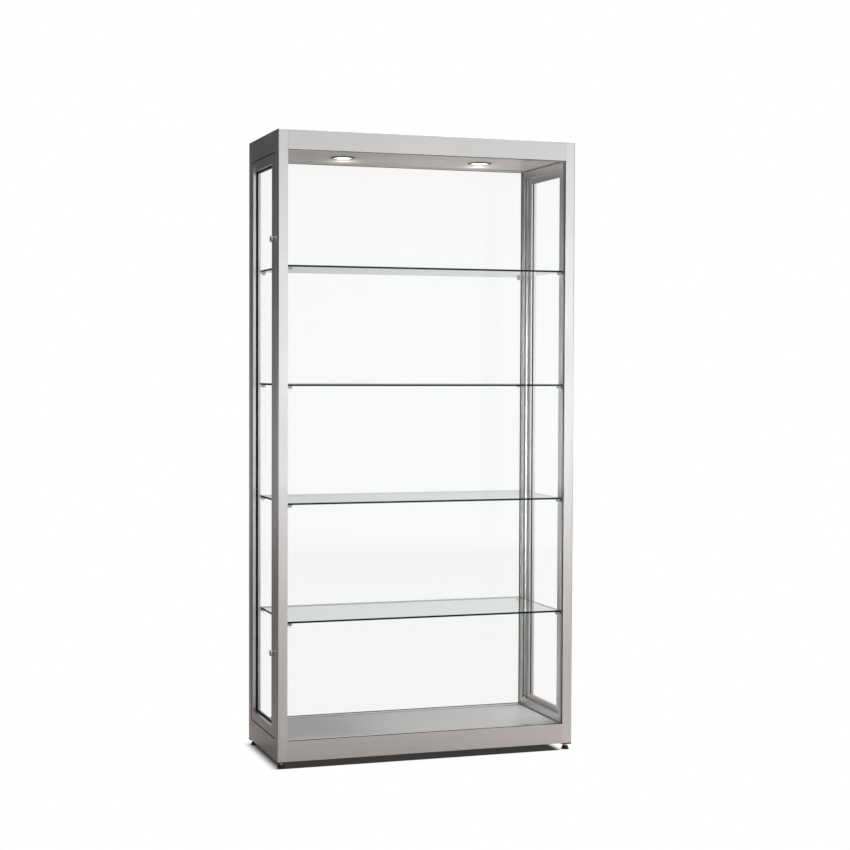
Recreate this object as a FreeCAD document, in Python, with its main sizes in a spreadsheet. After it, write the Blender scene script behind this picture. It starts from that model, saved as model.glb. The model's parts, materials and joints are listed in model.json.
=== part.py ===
import FreeCAD, Part
import math
import operator
import os
from types import SimpleNamespace

import Sketcher

# Glass display showcase, in millimetres.
# +Z is up, the front faces -Y, and the origin is on the floor under the middle of the case.
# Four extruded posts and eight rails hold fixed front and rear panes.  Both ends close with a
# framed glass door on vertical pivots.  Four glass shelves hang on clips in the posts' slots.
# Depths into the case are "in" from an end face (along X) or from the front or rear face
# (along Y), so that left and right, and front and rear, share the same numbers.

DIMENSIONS = {
    "case_width": 1000, "case_depth": 400, "case_height": 2000,
    "foot_height": 22,
    # posts and their slots
    "post_size": 33, "wall": 2, "post_round": 4, "web_start": 21,
    "slot_start": 17.5, "slot_width": 6, "slot_lip": 2, "slot_cavity": 11, "slot_depth": 6.5,
    "seal_start": 25, "seal_width": 4, "seal_depth": 4,
    # glazing groove and panes of the front and rear
    "groove_start": 2.5, "groove_width": 9, "groove_depth": 10,
    "pane_thick": 6, "pane_bite": 8.5, "gasket_bite": 9.5, "gasket_proud": 0.5,
    # rails
    "head_height": 61, "base_height": 64,
    "side_head_height": 66.5, "side_head_lip": 85.3,
    "side_base_height": 66.7, "side_base_lip": 89.5, "lip_start": 20.5,
    "ledge_reach": 10, "ledge_thick": 2,
    # boards
    "board_gap": 0.5, "board_thick": 12, "ceiling_drop": 59, "floor_level": 62,
    "roof_thick": 4, "roof_drop": 2,
    # door leaves
    "leaf_thick": 20, "leaf_side_gap": 2, "leaf_end_gap": 4,
    "lock_stile": 43, "hinge_stile": 28, "leaf_rail": 30,
    "channel_start": 9, "channel_end": 16, "channel_depth": 8, "bead_rise": 6,
    "door_glass_start": 10, "door_glass_thick": 5, "door_glass_bite": 7, "door_gasket_bite": 7.5,
    # pivots
    "pin_radius": 4, "pin_clearance": 0.04, "pivot_bore": 8, "plug_clearance": 0.05,
    "plug_length": 30, "pin_reach": 15.5, "bush_radius": 6, "bush_flange": 8,
    "bush_flange_thick": 1.5, "bush_length": 14, "shoulder_radius": 7,
    "shoulder_play": 0.1,
    # locks
    "lock_from_end": 267, "lock_from_edge": 20, "lock_proud": 11, "lock_flange": 10,
    "lock_body": 8, "lock_body_length": 13.9, "plug_radius": 6, "cam_start": 14.1,
    "cam_thick": 3, "cam_width": 10, "cam_reach": 27, "cam_slot_low": 7, "cam_slot_high": 24,
    "cam_play": 0.3, "keyway_width": 1.4, "keyway_height": 7, "keyway_depth": 2,
    "keyway_recess": 0.5,
    # shelves and clips
    "shelf_width": 928, "shelf_depth": 374, "shelf_thick": 6,
    "first_shelf": 437, "shelf_pitch": 373,
    "clip_reach": 18, "clip_width": 10, "clip_height": 8, "clip_neck": 5.4,
    "clip_head_width": 10.4, "clip_head_depth": 5.8, "clip_head_height": 16,
    "slide_play": 0.25,
    # downlights, driver and lead
    "light_offset": 236, "light_y": -8, "bezel_radius": 40, "bezel_bore": 29, "bezel_drop": 3,
    "bezel_neck": 32.5, "light_hole": 33, "lens_thick": 3, "lens_play": 0.1, "light_body_radius": 31,
    "light_body_height": 30, "driver_length": 120, "driver_width": 40, "driver_height": 24,
    "driver_y": 90, "lead_radius": 2, "lead_lift": 12, "lead_run": 55,
    # cable grommet in the roof
    "grommet_y": 130, "grommet_bore": 5, "grommet_neck": 10, "grommet_flange": 14,
    "grommet_lip": 2,
    # corner joints
    "bolt_rise": 26, "bolt_play": 0.2, "bolt_radius": 2.5, "bolt_head_radius": 4.5,
    "bolt_head_thick": 4, "block_play": 0.5, "block_length": 24, "block_width": 16,
    "block_height": 30, "access_radius": 6, "access_distance": 40,
    # levelling feet and end caps
    "cap_plate": 4, "cap_plug": 18, "cap_play": 0.1, "top_plug": 10, "pad_radius": 12,
    "pad_height": 11, "pad_top_radius": 9, "pad_slope": 3, "stud_radius": 3,
    "stud_clearance": 0.04, "stud_length": 42, "foot_hex": 5.8, "foot_hex_height": 6.8,
}

doc = FreeCAD.newDocument("glass_showcase")
sheet = doc.addObject("Spreadsheet::Sheet", "dims")
for row, (alias, number) in enumerate(DIMENSIONS.items(), start=1):
    sheet.set(f"A{row}", alias)
    sheet.set(f"B{row}", str(number))
    sheet.setAlias(f"B{row}", alias)
doc.recompute()

OPERATIONS = {"+": operator.add, "-": operator.sub, "*": operator.mul, "/": operator.truediv}


class Size:
    """A length that knows its formula in the sheet's cells and its present value."""

    def __init__(self, formula, value):
        self.formula = formula
        self.value = value

    def __add__(self, other):
        return combined(self, "+", other)

    def __radd__(self, other):
        return combined(other, "+", self)

    def __sub__(self, other):
        return combined(self, "-", other)

    def __rsub__(self, other):
        return combined(other, "-", self)

    def __mul__(self, other):
        return combined(self, "*", other)

    def __rmul__(self, other):
        return combined(other, "*", self)

    def __truediv__(self, other):
        return combined(self, "/", other)

    def __neg__(self):
        return combined(0, "-", self)


def as_size(length):
    return length if isinstance(length, Size) else Size(str(float(length)), float(length))


def combined(left, sign, right):
    left, right = as_size(left), as_size(right)
    value = OPERATIONS[sign](left.value, right.value)
    return Size(f"({left.formula} {sign} {right.formula})", value)


d = SimpleNamespace(**{alias: Size(f"dims.{alias}", float(sheet.get(alias)))
                       for alias in DIMENSIONS})

# ---------------------------------------------------------------- helpers

UPRIGHT = FreeCAD.Rotation()
# local x, y, z go to row Y, Z, X: a section drawn in (Y, Z) and padded along X
ALONG_X = FreeCAD.Rotation(FreeCAD.Vector(1, 1, 1), 120)
# local x, y, z go to row Z, X, Y: a section drawn in (Z, X) and padded along Y
ALONG_Y = FreeCAD.Rotation(FreeCAD.Vector(1, 1, 1), 240)
# a cylinder laid along X or Y
ROD_ALONG_X = FreeCAD.Rotation(FreeCAD.Vector(0, 1, 0), 90)
ROD_ALONG_Y = FreeCAD.Rotation(FreeCAD.Vector(1, 0, 0), -90)

LEFT, RIGHT = -1, 1
FRONT, REAR = -1, 1
SIDES = {"left": LEFT, "right": RIGHT}
ENDS = {"front": FRONT, "rear": REAR}


def bind(thing, name, length):
    thing.setExpression(name, as_size(length).formula)


def place(thing, at, turn=UPRIGHT):
    thing.Placement = FreeCAD.Placement(FreeCAD.Vector(), turn)
    for axis, length in zip("xyz", at):
        bind(thing, f"Placement.Base.{axis}", length)
    return thing


def low_x(side, near, far):
    """Low X of a span that starts near and ends far in from an end face."""
    return near - d.case_width / 2 if side == LEFT else d.case_width / 2 - far


def low_y(end, near, far):
    """Low Y of a span that starts near and ends far in from the front or rear face."""
    return near - d.case_depth / 2 if end == FRONT else d.case_depth / 2 - far


def facing(flag, points, width, axis=0):
    """The outline as drawn for LEFT or FRONT, or mirrored within its width."""
    if flag < 0:
        return points
    if axis == 0:
        return [(width - x, y) for x, y in points]
    return [(x, width - y) for x, y in points]


def box(label, at, size):
    block = doc.addObject("Part::Box", label)
    for name, length in zip(("Length", "Width", "Height"), size):
        bind(block, name, length)
    return place(block, at)


def cylinder(label, at, radius, height, turn=UPRIGHT):
    rod = doc.addObject("Part::Cylinder", label)
    bind(rod, "Radius", radius)
    bind(rod, "Height", height)
    return place(rod, at, turn)


def fused(label, pieces):
    fuse = doc.addObject("Part::MultiFuse", label)
    fuse.Shapes = pieces
    return fuse


def group(label, pieces):
    """Several identical separate solids under one label."""
    compound = doc.addObject("Part::Compound", label)
    compound.Links = pieces
    return compound


def cut(label, base, cutters):
    """The base less its cutters, which may be several."""
    result = doc.addObject("Part::Cut", label)
    result.Base = base
    result.Tool = cutters[0] if len(cutters) == 1 else fused(label + "_cutters", cutters)
    return result


def tube(label, at, outer, inner, height, turn=UPRIGHT):
    solid = cylinder(label + "_outside", at, outer, height, turn)
    bore = cylinder(label + "_bore", at, inner, height, turn)
    return cut(label, solid, [bore])


def pin_point(sketch, geometry, position, x, y):
    for kind, axis_line, length in (("DistanceX", -2, x), ("DistanceY", -1, y)):
        length = as_size(length)
        if length.value == 0:
            sketch.addConstraint(
                Sketcher.Constraint("PointOnObject", geometry, position, axis_line))
            continue
        number = sketch.addConstraint(
            Sketcher.Constraint(kind, -1, 1, geometry, position, length.value))
        sketch.setExpression(f"Constraints[{number}]", length.formula)


def add_polygon(sketch, corners):
    first = sketch.GeometryCount
    spots = [FreeCAD.Vector(as_size(x).value, as_size(y).value, 0) for x, y in corners]
    for start, end in zip(spots, spots[1:] + spots[:1]):
        sketch.addGeometry(Part.LineSegment(start, end), False)
    for index, (x, y) in enumerate(corners):
        line = first + index
        before = first + (index - 1) % len(corners)
        sketch.addConstraint(Sketcher.Constraint("Coincident", before, 2, line, 1))
        pin_point(sketch, line, 1, x, y)


def add_circle(sketch, x, y, radius):
    centre = FreeCAD.Vector(as_size(x).value, as_size(y).value, 0)
    circle = sketch.addGeometry(
        Part.Circle(centre, FreeCAD.Vector(0, 0, 1), as_size(radius).value), False)
    pin_point(sketch, circle, 3, x, y)
    number = sketch.addConstraint(
        Sketcher.Constraint("Radius", circle, as_size(radius).value))
    sketch.setExpression(f"Constraints[{number}]", as_size(radius).formula)


def new_sketch(body, name):
    sketch = body.newObject("Sketcher::SketchObject", f"{body.Name}_{name}")
    ground = [plane for plane in body.Origin.OriginFeatures if plane.Role == "XY_Plane"][0]
    sketch.AttachmentSupport = (ground, [""])
    sketch.MapMode = "FlatFace"
    return sketch


def pad(body, sketch, length):
    feature = body.newObject("PartDesign::Pad", sketch.Name + "_pad")
    feature.Profile = sketch
    bind(feature, "Length", length)
    return feature


def extrusion(label, outlines, length, at, turn=UPRIGHT):
    """A hollow profile: the first outline is its outside, the others its cavities."""
    body = doc.addObject("PartDesign::Body", label)
    sketch = new_sketch(body, "section")
    for outline in outlines:
        add_polygon(sketch, outline)
    pad(body, sketch, length)
    return place(body, at, turn)


def rectangle(x0, y0, x1, y1):
    return [(x0, y0), (x1, y0), (x1, y1), (x0, y1)]


def round_upright_edge(body, x, y, radius):
    """Round the vertical edge that stands at a local x and y."""
    doc.recompute()
    base = body.Tip
    for number, edge in enumerate(base.Shape.Edges, start=1):
        offsets = [max(abs(point.X - as_size(x).value), abs(point.Y - as_size(y).value))
                   for point in edge.Vertexes]
        if max(offsets) < 0.001:
            fillet = body.newObject("PartDesign::Fillet", body.Name + "_round")
            fillet.Base = (base, [f"Edge{number}"])
            bind(fillet, "Radius", radius)
            return
    raise RuntimeError(f"{body.Label} has no upright edge there")


# ---------------------------------------------------------------- levels and spans

frame_bottom = d.foot_height
frame_top = d.case_height
post_inner_x = d.case_width / 2 - d.post_size
post_inner_y = d.case_depth / 2 - d.post_size
between_posts_x = 2 * post_inner_x
between_posts_y = 2 * post_inner_y
ceiling_bottom = frame_top - d.ceiling_drop
ceiling_top = ceiling_bottom + d.board_thick
floor_top = frame_bottom + d.floor_level
floor_bottom = floor_top - d.board_thick
roof_bottom = frame_top - d.roof_drop - d.roof_thick
leaf_bottom = frame_bottom + d.side_base_height + d.leaf_end_gap
leaf_top = frame_top - d.side_head_height - d.leaf_end_gap
leaf_height = leaf_top - leaf_bottom
leaf_front = d.leaf_side_gap - post_inner_y
leaf_rear = post_inner_y - d.leaf_side_gap
lock_sight = leaf_front + d.lock_stile
hinge_sight = leaf_rear - d.hinge_stile
pivot_in = d.leaf_thick / 2
pivot_y = leaf_rear - d.leaf_thick / 2
slot_centre = d.slot_start + d.slot_width / 2
cavity_start = slot_centre - d.slot_cavity / 2
side_bolt_in = (d.wall + d.web_start) / 2
BOLT_LEVELS = {"head": frame_top - d.head_height / 2, "base": frame_bottom + d.bolt_rise}
LOCK_LEVELS = {"upper": leaf_top - d.lock_from_end, "lower": leaf_bottom + d.lock_from_end}
SHELF_LEVELS = [frame_bottom + d.first_shelf + number * d.shelf_pitch - d.shelf_thick / 2
                for number in range(4)]

parts = []


def keep(thing):
    parts.append(thing)
    return thing


# ---------------------------------------------------------------- frame

def post_outlines(side, end):
    """Outside with pane groove, clip slot and seal groove, and the main cavity."""
    size = d.post_size
    groove_end = d.groove_start + d.groove_width
    lip = size - d.slot_lip
    cavity_floor = lip - d.slot_depth
    cavity_end = cavity_start + d.slot_cavity
    slot_end = d.slot_start + d.slot_width
    seal_end = d.seal_start + d.seal_width
    outside = [
        (0, 0), (size, 0),
        (size, d.groove_start), (size - d.groove_depth, d.groove_start),
        (size - d.groove_depth, groove_end), (size, groove_end),
        (size, d.slot_start), (lip, d.slot_start), (lip, cavity_start),
        (cavity_floor, cavity_start), (cavity_floor, cavity_end), (lip, cavity_end),
        (lip, slot_end), (size, slot_end), (size, size),
        (seal_end, size), (seal_end, size - d.seal_depth),
        (d.seal_start, size - d.seal_depth), (d.seal_start, size), (0, size),
    ]
    cavity = rectangle(d.wall, d.wall, d.web_start, size - d.wall)
    outlines = []
    for outline in (outside, cavity):
        outline = facing(side, outline, size, axis=0)
        outlines.append(facing(end, outline, size, axis=1))
    return outlines


def make_post(side_name, end_name):
    side, end = SIDES[side_name], ENDS[end_name]
    label = f"post_{end_name}_{side_name}"
    at = (low_x(side, 0, d.post_size), low_y(end, 0, d.post_size), frame_bottom)
    blank = extrusion(label + "_profile", post_outlines(side, end),
                      frame_top - frame_bottom, at)
    corner_x = 0 if side == LEFT else d.post_size
    corner_y = 0 if end == FRONT else d.post_size
    round_upright_edge(blank, corner_x, corner_y, d.post_round)
    cutters = []
    for level, height in BOLT_LEVELS.items():
        cutters.append(cylinder(
            f"{label}_{level}_bolt_hole",
            (low_x(side, side_bolt_in, side_bolt_in),
             low_y(end, d.post_size - 2 * d.wall, d.post_size + d.wall), height),
            d.bolt_radius + d.bolt_play, 3 * d.wall, ROD_ALONG_Y))
    if end == FRONT:
        for level, height in LOCK_LEVELS.items():
            cutters.append(cam_slot(f"{label}_{level}_keeper", side, height,
                                    low_y(FRONT, d.post_size - 2 * d.wall, 0)))
    return keep(cut(label, blank, cutters))


def cam_slot(label, side, height, y):
    """A slot that the cam swings through, in the front wall of a stile or a post's wall."""
    near, far = d.cam_start - d.cam_play, d.cam_start + d.cam_thick + d.cam_play
    return box(label, (low_x(side, near, far), y, height - d.cam_slot_low),
               (far - near, 3 * d.wall, d.cam_slot_low + d.cam_slot_high))


def head_outlines():
    """Front head rail: pane groove below, ledges for the ceiling and the roof behind."""
    groove_end = d.groove_start + d.groove_width
    deep, high = d.post_size, d.head_height
    ledge_end = deep + d.ledge_reach
    roof_ledge_top = high - d.roof_drop - d.roof_thick
    outside = [
        (0, 0), (d.groove_start, 0), (d.groove_start, d.groove_depth),
        (groove_end, d.groove_depth), (groove_end, 0),
        (ledge_end, 0), (ledge_end, d.ledge_thick), (deep, d.ledge_thick),
        (deep, roof_ledge_top - d.ledge_thick), (ledge_end, roof_ledge_top - d.ledge_thick),
        (ledge_end, roof_ledge_top), (deep, roof_ledge_top), (deep, high), (0, high),
    ]
    step = d.groove_depth + d.wall
    inner = groove_end + d.wall
    cavity = [
        (inner, d.wall), (deep - d.wall, d.wall), (deep - d.wall, high - d.wall),
        (d.wall, high - d.wall), (d.wall, step), (inner, step),
    ]
    return [outside, cavity]


def base_outlines():
    """Front base rail: pane groove on top and a ledge for the floor board behind."""
    groove_end = d.groove_start + d.groove_width
    deep, high = d.post_size, d.base_height
    ledge_end = deep + d.ledge_reach
    ledge_top = d.floor_level - d.board_thick
    outside = [
        (0, 0), (deep, 0), (deep, ledge_top - d.ledge_thick),
        (ledge_end, ledge_top - d.ledge_thick), (ledge_end, ledge_top), (deep, ledge_top),
        (deep, high), (groove_end, high), (groove_end, high - d.groove_depth),
        (d.groove_start, high - d.groove_depth), (d.groove_start, high), (0, high),
    ]
    step = high - d.groove_depth - d.wall
    inner = groove_end + d.wall
    cavity = [
        (d.wall, d.wall), (deep - d.wall, d.wall), (deep - d.wall, high - d.wall),
        (inner, high - d.wall), (inner, step), (d.wall, step),
    ]
    return [outside, cavity]


def side_outlines(outer_height, lip_height):
    """Side base rail in (Z, X): a lip stands up behind the door leaf."""
    deep, lip = d.post_size, d.lip_start
    outside = [(0, 0), (outer_height, 0), (outer_height, lip), (lip_height, lip),
               (lip_height, deep), (0, deep)]
    thin = d.wall
    cavity = [(thin, thin), (outer_height - thin, thin), (outer_height - thin, lip + thin),
              (lip_height - thin, lip + thin), (lip_height - thin, deep - thin),
              (thin, deep - thin)]
    return [outside, cavity]


def make_long_rail(kind, end_name):
    """A head or base rail between the posts, along X, with its access holes."""
    end = ENDS[end_name]
    label = f"{kind}_rail_{end_name}"
    width = d.post_size + d.ledge_reach
    outlines = head_outlines() if kind == "top" else base_outlines()
    outlines = [facing(end, outline, width) for outline in outlines]
    low = frame_top - d.head_height if kind == "top" else frame_bottom
    blank = extrusion(label + "_profile", outlines, between_posts_x,
                      (-post_inner_x, low_y(end, 0, width), low), ALONG_X)
    height = BOLT_LEVELS["head" if kind == "top" else "base"]
    wall_y = low_y(end, d.post_size - 2 * d.wall, d.post_size + d.wall)
    holes = [cylinder(f"{label}_access_{name}",
                      (side * (post_inner_x - d.access_distance), wall_y, height),
                      d.access_radius, 3 * d.wall, ROD_ALONG_Y)
             for name, side in SIDES.items()]
    return keep(cut(label, blank, holes))


def make_side_rail(kind, side_name):
    """A side rail between the posts, along Y, with its lip, bush hole and access holes."""
    side = SIDES[side_name]
    label = f"{kind}_rail_{side_name}"
    if kind == "top":
        outer_height, lip_height = d.side_head_height, d.side_head_lip
        outlines = [[(lip_height - z, x) for z, x in outline]
                    for outline in side_outlines(outer_height, lip_height)]
        low = frame_top - lip_height
        wall_low = frame_top - outer_height - d.wall
        height = BOLT_LEVELS["head"]
    else:
        outer_height, lip_height = d.side_base_height, d.side_base_lip
        outlines = side_outlines(outer_height, lip_height)
        low = frame_bottom
        wall_low = frame_bottom + outer_height - 2 * d.wall
        height = BOLT_LEVELS["base"]
    outlines = [facing(side, outline, d.post_size, axis=1) for outline in outlines]
    blank = extrusion(label + "_profile", outlines, between_posts_y,
                      (low_x(side, 0, d.post_size), -post_inner_y, low), ALONG_Y)
    cutters = [cylinder(label + "_bush_hole", (low_x(side, pivot_in, pivot_in), pivot_y, wall_low),
                        d.bush_radius, 3 * d.wall)]
    wall_x = low_x(side, d.post_size - 2 * d.wall, d.post_size + d.wall)
    for name, end in ENDS.items():
        cutters.append(cylinder(f"{label}_access_{name}",
                                (wall_x, end * (post_inner_y - d.access_distance), height),
                                d.access_radius, 3 * d.wall, ROD_ALONG_X))
    return keep(cut(label, blank, cutters))


def make_corner_joints():
    """In each rail end a block, and a bolt from inside the post through it to its nut."""
    blocks, bolts = [], []
    far = d.post_size + d.block_length
    head_in = d.post_size - d.slot_lip - d.bolt_head_thick
    hole = d.bolt_radius + d.bolt_play
    block_in = d.post_size - d.wall - d.block_width - d.block_play
    for side_name, side in SIDES.items():
        for end_name, end in ENDS.items():
            for level, height in BOLT_LEVELS.items():
                name = f"{level}_{end_name}_{side_name}"
                low = height - d.block_height / 2
                size = (d.block_length, d.block_width, d.block_height)
                solid = box(f"long_block_{name}",
                            (low_x(side, d.post_size, far),
                             low_y(end, block_in, block_in + d.block_width), low), size)
                y = low_y(end, slot_centre, slot_centre)
                drill = cylinder(f"long_drill_{name}", (low_x(side, d.post_size, far), y, height),
                                 hole, d.block_length, ROD_ALONG_X)
                blocks.append(cut(f"long_joint_{name}", solid, [drill]))
                bolts.append(fused(f"long_bolt_{name}", [
                    cylinder(f"long_{piece}_{name}", (low_x(side, near, reach), y, height),
                             radius, reach - near, ROD_ALONG_X)
                    for piece, near, reach, radius in bolt_pieces(head_in, far)]))
                half = d.block_width / 2
                size = (d.block_width, d.block_length, d.block_height)
                solid = box(f"side_block_{name}",
                            (low_x(side, side_bolt_in - half, side_bolt_in + half),
                             low_y(end, d.post_size, far), low), size)
                x = low_x(side, side_bolt_in, side_bolt_in)
                drill = cylinder(f"side_drill_{name}", (x, low_y(end, d.post_size, far), height),
                                 hole, d.block_length, ROD_ALONG_Y)
                blocks.append(cut(f"side_joint_{name}", solid, [drill]))
                bolts.append(fused(f"side_bolt_{name}", [
                    cylinder(f"side_{piece}_{name}", (x, low_y(end, near, reach), height),
                             radius, reach - near, ROD_ALONG_Y)
                    for piece, near, reach, radius in bolt_pieces(head_in, far)]))
    keep(group("corner_blocks", blocks))
    keep(group("corner_bolts", bolts))


def bolt_pieces(head_in, far):
    """Head inside the post, shank through the block, nut behind it, as spans in from a face."""
    head_end = head_in + d.bolt_head_thick
    return (("head", head_in, head_end, d.bolt_head_radius),
            ("shank", head_end, far, d.bolt_radius),
            ("nut", far, far + d.bolt_head_thick, d.bolt_head_radius))


def make_post_end_caps():
    """A cap under each post, bored for its foot's stud, and a plug in its top."""
    caps = []
    play = d.cap_play
    inner = (d.wall + play, d.web_start - play)
    across = (d.wall + play, d.post_size - d.wall - play)
    for side_name, side in SIDES.items():
        for end_name, end in ENDS.items():
            name = f"{end_name}_{side_name}"
            plug_x, plug_y = low_x(side, *inner), low_y(end, *across)
            size_x, size_y = inner[1] - inner[0], across[1] - across[0]
            plate = extrusion(f"cap_plate_{name}", [rectangle(0, 0, d.post_size, d.post_size)],
                              d.cap_plate, (low_x(side, 0, d.post_size),
                                            low_y(end, 0, d.post_size),
                                            frame_bottom - d.cap_plate))
            round_upright_edge(plate, 0 if side == LEFT else d.post_size,
                               0 if end == FRONT else d.post_size, d.post_round)
            plug = box(f"cap_plug_{name}", (plug_x, plug_y, frame_bottom),
                       (size_x, size_y, d.cap_plug))
            bore = cylinder(f"cap_bore_{name}", (*foot_spot(side, end), frame_bottom - d.cap_plate),
                            d.stud_radius + d.stud_clearance, d.cap_plate + d.cap_plug)
            caps.append(cut(f"foot_cap_{name}", fused(f"cap_solid_{name}", [plate, plug]), [bore]))
            caps.append(box(f"top_cap_{name}", (plug_x, plug_y, frame_top - d.top_plug),
                            (size_x, size_y, d.top_plug)))
    keep(group("post_end_caps", caps))


def foot_spot(side, end):
    middle = d.post_size / 2
    return low_x(side, middle, middle), low_y(end, middle, middle)


def make_foot(side_name, end_name):
    """Levelling foot: a moulded pad on a threaded stud with a hexagon."""
    label = f"levelling_foot_{end_name}_{side_name}"
    x, y = foot_spot(SIDES[side_name], ENDS[end_name])
    skirt = cylinder(label + "_skirt", (x, y, 0), d.pad_radius, d.pad_height - d.pad_slope)
    crown = doc.addObject("Part::Cone", label + "_crown")
    bind(crown, "Radius1", d.pad_radius)
    bind(crown, "Radius2", d.pad_top_radius)
    bind(crown, "Height", d.pad_slope)
    place(crown, (x, y, d.pad_height - d.pad_slope))
    hexagon = doc.addObject("Part::Prism", label + "_hexagon")
    hexagon.Polygon = 6
    bind(hexagon, "Circumradius", d.foot_hex)
    bind(hexagon, "Height", d.foot_hex_height)
    place(hexagon, (x, y, d.pad_height))
    stud = cylinder(label + "_stud", (x, y, d.pad_height), d.stud_radius, d.stud_length)
    keep(fused(label, [skirt, crown, hexagon, stud]))


# ---------------------------------------------------------------- boards and panes

def make_boards():
    length = between_posts_x - 2 * d.board_gap
    depth = between_posts_y - 2 * d.board_gap
    corner = (-length / 2, -depth / 2)
    keep(box("floor_panel", (*corner, floor_bottom), (length, depth, d.board_thick)))
    ceiling = box("ceiling_blank", (*corner, ceiling_bottom), (length, depth, d.board_thick))
    holes = [cylinder(f"light_hole_{name}", (side * d.light_offset, d.light_y, ceiling_bottom),
                      d.light_hole, d.board_thick) for name, side in SIDES.items()]
    keep(cut("ceiling_panel", ceiling, holes))
    roof = box("roof_blank", (*corner, roof_bottom), (length, depth, d.roof_thick))
    hole = cylinder("grommet_hole", (0, d.grommet_y, roof_bottom), d.grommet_neck, d.roof_thick)
    keep(cut("roof_panel", roof, [hole]))


pane_low = frame_bottom + d.base_height
pane_high = frame_top - d.head_height
pane_start = d.groove_start + (d.groove_width - d.pane_thick) / 2


def pane_block(label, end, near, far, bite):
    """A block that fills the opening of the front or rear, and bites into its groove."""
    low = (-post_inner_x - bite, low_y(end, near, far), pane_low - bite)
    size = (between_posts_x + 2 * bite, far - near, pane_high - pane_low + 2 * bite)
    return box(label, low, size)


def make_panes():
    gaskets = []
    groove_end = d.groove_start + d.groove_width
    pane_end = pane_start + d.pane_thick
    for name, end in ENDS.items():
        keep(pane_block(f"{name}_glass", end, pane_start, pane_end, d.pane_bite))
        strip = pane_block(f"{name}_strip", end, d.groove_start, groove_end, d.gasket_bite)
        opening = pane_block(f"{name}_opening", end, d.groove_start, groove_end, -d.gasket_proud)
        bed = pane_block(f"{name}_bed", end, pane_start, pane_end, d.pane_bite)
        gaskets.append(cut(f"{name}_gasket", strip, [opening, bed]))
    keep(group("pane_gaskets", gaskets))


# ---------------------------------------------------------------- doors

def leaf_rail_outlines():
    """Bottom rail in (Z, X): glazing channel above, with a raised bead on the inside."""
    sight, bead, floor = d.leaf_rail, d.leaf_rail + d.bead_rise, d.leaf_rail - d.channel_depth
    outside = [(0, 0), (sight, 0), (sight, d.channel_start), (floor, d.channel_start),
               (floor, d.channel_end), (bead, d.channel_end), (bead, d.leaf_thick),
               (0, d.leaf_thick)]
    cavity = rectangle(d.wall, d.wall, floor - d.wall, d.leaf_thick - d.wall)
    return [outside, cavity]


def make_leaf_rail(side_name, kind):
    """A leaf rail between the stiles, coped at its ends round their beads."""
    side = SIDES[side_name]
    label = f"{side_name}_door_{kind}_rail"
    height = d.leaf_rail + d.bead_rise
    outlines, low = leaf_rail_outlines(), leaf_bottom
    if kind == "top":
        outlines = [[(height - z, x) for z, x in outline] for outline in outlines]
        low = leaf_top - height
    outlines = [facing(side, outline, d.leaf_thick, axis=1) for outline in outlines]
    blank = extrusion(label + "_profile", outlines, hinge_sight - lock_sight,
                      (low_x(side, 0, d.leaf_thick), lock_sight, low), ALONG_Y)
    bead = d.leaf_thick - d.channel_end
    copes = [box(f"{label}_cope_{place_name}", (low_x(side, d.channel_end, d.leaf_thick), y, low),
                 (bead, d.bead_rise, height))
             for place_name, y in (("lock", lock_sight), ("hinge", hinge_sight - d.bead_rise))]
    return keep(cut(label, blank, copes))


def make_lock_stile(side_name):
    side = SIDES[side_name]
    label = f"{side_name}_door_lock_stile"
    sight, bead = d.lock_stile, d.lock_stile + d.bead_rise
    floor = sight - d.channel_depth
    outside = [(0, 0), (d.leaf_thick, 0), (d.leaf_thick, bead), (d.channel_end, bead),
               (d.channel_end, floor), (d.channel_start, floor), (d.channel_start, sight),
               (0, sight)]
    cavity = rectangle(d.wall, d.wall, d.leaf_thick - d.wall, floor - d.wall)
    outlines = [facing(side, outline, d.leaf_thick) for outline in (outside, cavity)]
    blank = extrusion(label + "_profile", outlines, leaf_height,
                      (low_x(side, 0, d.leaf_thick), leaf_front, leaf_bottom))
    cutters = []
    for level, height in LOCK_LEVELS.items():
        cutters.append(cylinder(f"{label}_{level}_hole",
                                (low_x(side, -d.wall, 2 * d.wall), lock_y, height),
                                d.lock_body + d.bolt_play, 3 * d.wall, ROD_ALONG_X))
        cutters.append(cam_slot(f"{label}_{level}_slot", side, height, leaf_front - d.wall))
    return keep(cut(label, blank, cutters))


def make_hinge_stile(side_name):
    """The stile turns about the middle of its round rear edge, which clears the post."""
    side = SIDES[side_name]
    label = f"{side_name}_door_hinge_stile"
    sight = d.bead_rise
    floor = sight + d.channel_depth
    centre_x, centre_y = d.leaf_thick / 2, sight + d.hinge_stile - d.leaf_thick / 2
    outside = [(0, sight), (d.channel_start, sight), (d.channel_start, floor),
               (d.channel_end, floor), (d.channel_end, 0), (d.leaf_thick, 0),
               (d.leaf_thick, centre_y), (0, centre_y)]
    body = extrusion(label + "_profile", [facing(side, outside, d.leaf_thick)], leaf_height,
                     (low_x(side, 0, d.leaf_thick), hinge_sight - d.bead_rise, leaf_bottom))
    nose = new_sketch(body, "nose")
    add_circle(nose, centre_x, centre_y, d.leaf_thick / 2)
    pad(body, nose, leaf_height)
    bore = cylinder(label + "_bore", (low_x(side, pivot_in, pivot_in), pivot_y, leaf_bottom),
                    d.pivot_bore, leaf_height)
    return keep(cut(label, body, [bore]))


def glazing_block(label, side, near, far, bite):
    """A block that fills a leaf's sight opening, and bites into its channels."""
    low = (low_x(side, near, far), lock_sight - bite, leaf_bottom + d.leaf_rail - bite)
    size = (far - near, hinge_sight - lock_sight + 2 * bite,
            leaf_height - 2 * d.leaf_rail + 2 * bite)
    return box(label, low, size)


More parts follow.
